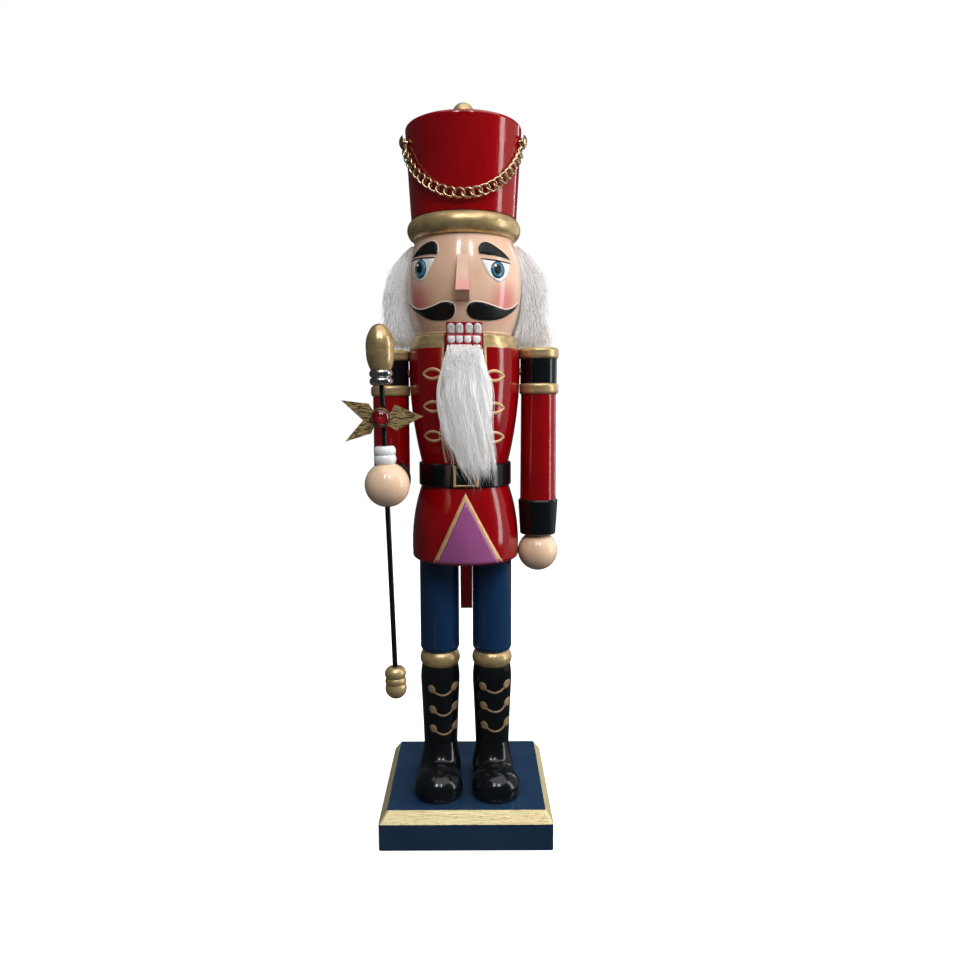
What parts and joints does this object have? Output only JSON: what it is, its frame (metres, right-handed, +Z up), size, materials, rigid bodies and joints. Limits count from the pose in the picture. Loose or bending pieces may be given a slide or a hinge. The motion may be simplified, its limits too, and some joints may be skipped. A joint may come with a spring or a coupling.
{
  "type": "nutcracker figure",
  "caption": "Wooden nutcracker soldier with a tall hat, fur hair and beard, a lever jaw and a staff, standing on a bevelled square plinth.",
  "frame": {"origin": "middle of the plinth's underside", "axes": "+Z up to the hat's finial; the figure faces -Y, so its own right hand is towards -X"},
  "size_m": [0.1078, 0.1036, 0.3804],
  "materials": {
    "bare_wood": "bare beech",
    "black_gloss": "gloss black lacquer",
    "gilt_plate": "gilt with a brushed grain",
    "gold_metal": "gilt",
    "gold_paint": "satin antique gold paint",
    "navy_gloss": "gloss navy lacquer",
    "plinth_navy_gold": "satin navy paint with a gold bevel",
    "red_gloss": "gloss red lacquer",
    "red_stone": "clear red cabochon",
    "silver_paint": "silver",
    "skin_paint": "gloss skin paint with painted features",
    "steel": "bright",
    "white_fur": "long white faux fur",
    "white_paint": "gloss white"
  },
  "bodies": {
    "figure": {"arm_dowels_left": "bare_wood", "arm_dowels_right": "bare_wood", "base_plinth": "plinth_navy_gold", "belt": "black_gloss", "boot_shaft_left": "black_gloss", "boot_shaft_right": "black_gloss", "chain_knob_left": "gold_metal", "chain_knob_right": "gold_metal", "cuff_left": "black_gloss", "cuff_right": "black_gloss", "elbow_dowel": "bare_wood", "epaulette_band_left": "black_gloss", "epaulette_band_right": "black_gloss", "forearm_right": "red_gloss", "hand_left": "skin_paint", "hand_right": "skin_paint", "hat_brim_ring": "gold_paint", "hat_crown": "red_gloss", "hat_dowel": "bare_wood", "hat_finial": "gold_paint", "head": "skin_paint", "hip_dowels": "bare_wood", "jacket_skirt": "red_gloss", "jaw_pin": "steel", "knee_band_left": "gold_paint", "knee_band_right": "gold_paint", "knee_dowels": "bare_wood", "leg_screws": "steel", "neck_dowels": "bare_wood", "nose": "skin_paint", "shoe_left": "black_gloss", "shoe_right": "black_gloss", "shoulder_ring_lower_left": "gold_paint", "shoulder_ring_lower_right": "gold_paint", "shoulder_ring_upper_left": "gold_paint", "shoulder_ring_upper_right": "gold_paint", "sleeve_left": "red_gloss", "sleeve_right": "red_gloss", "torso": "red_gloss", "trouser_leg_left": "navy_gloss", "trouser_leg_right": "navy_gloss", "waist_dowel": "bare_wood", "wig": "white_fur", "wrist_dowel_left": "bare_wood", "wrist_dowel_right": "bare_wood"},
    "jaw": {"jaw_lever": "red_gloss", "beard": "white_fur"},
    "staff": {"staff_arrow_plate": "gilt_plate", "staff_egg": "gold_paint", "staff_foot_knob": "gold_paint", "staff_gem": "red_stone", "staff_gem_bezel": "silver_paint", "staff_hand_collar": "white_paint", "staff_rod": "black_gloss", "staff_silver_collar": "silver_paint"},
    "chain": {"hat_chain": "gold_metal"}
  },
  "joints": [
    {"name": "jaw_hinge", "type": "hinge", "parent": "figure", "child": "jaw", "pos_m": [0, 0.004, 0.236], "axis": [1, 0, 0], "range_deg": [0, 18], "deforming": ["beard"]},
    {"name": "staff_lift", "type": "slide", "parent": "figure", "child": "staff", "axis": [-0.0304, 0, 0.9995], "range_m": [0, 0.075]},
    {"name": "chain_swing", "type": "hinge", "parent": "figure", "child": "chain", "pos_m": [0, -0.0079, 0.3586], "axis": [-1, 0, 0], "range_deg": [0, 60]}
  ]
}
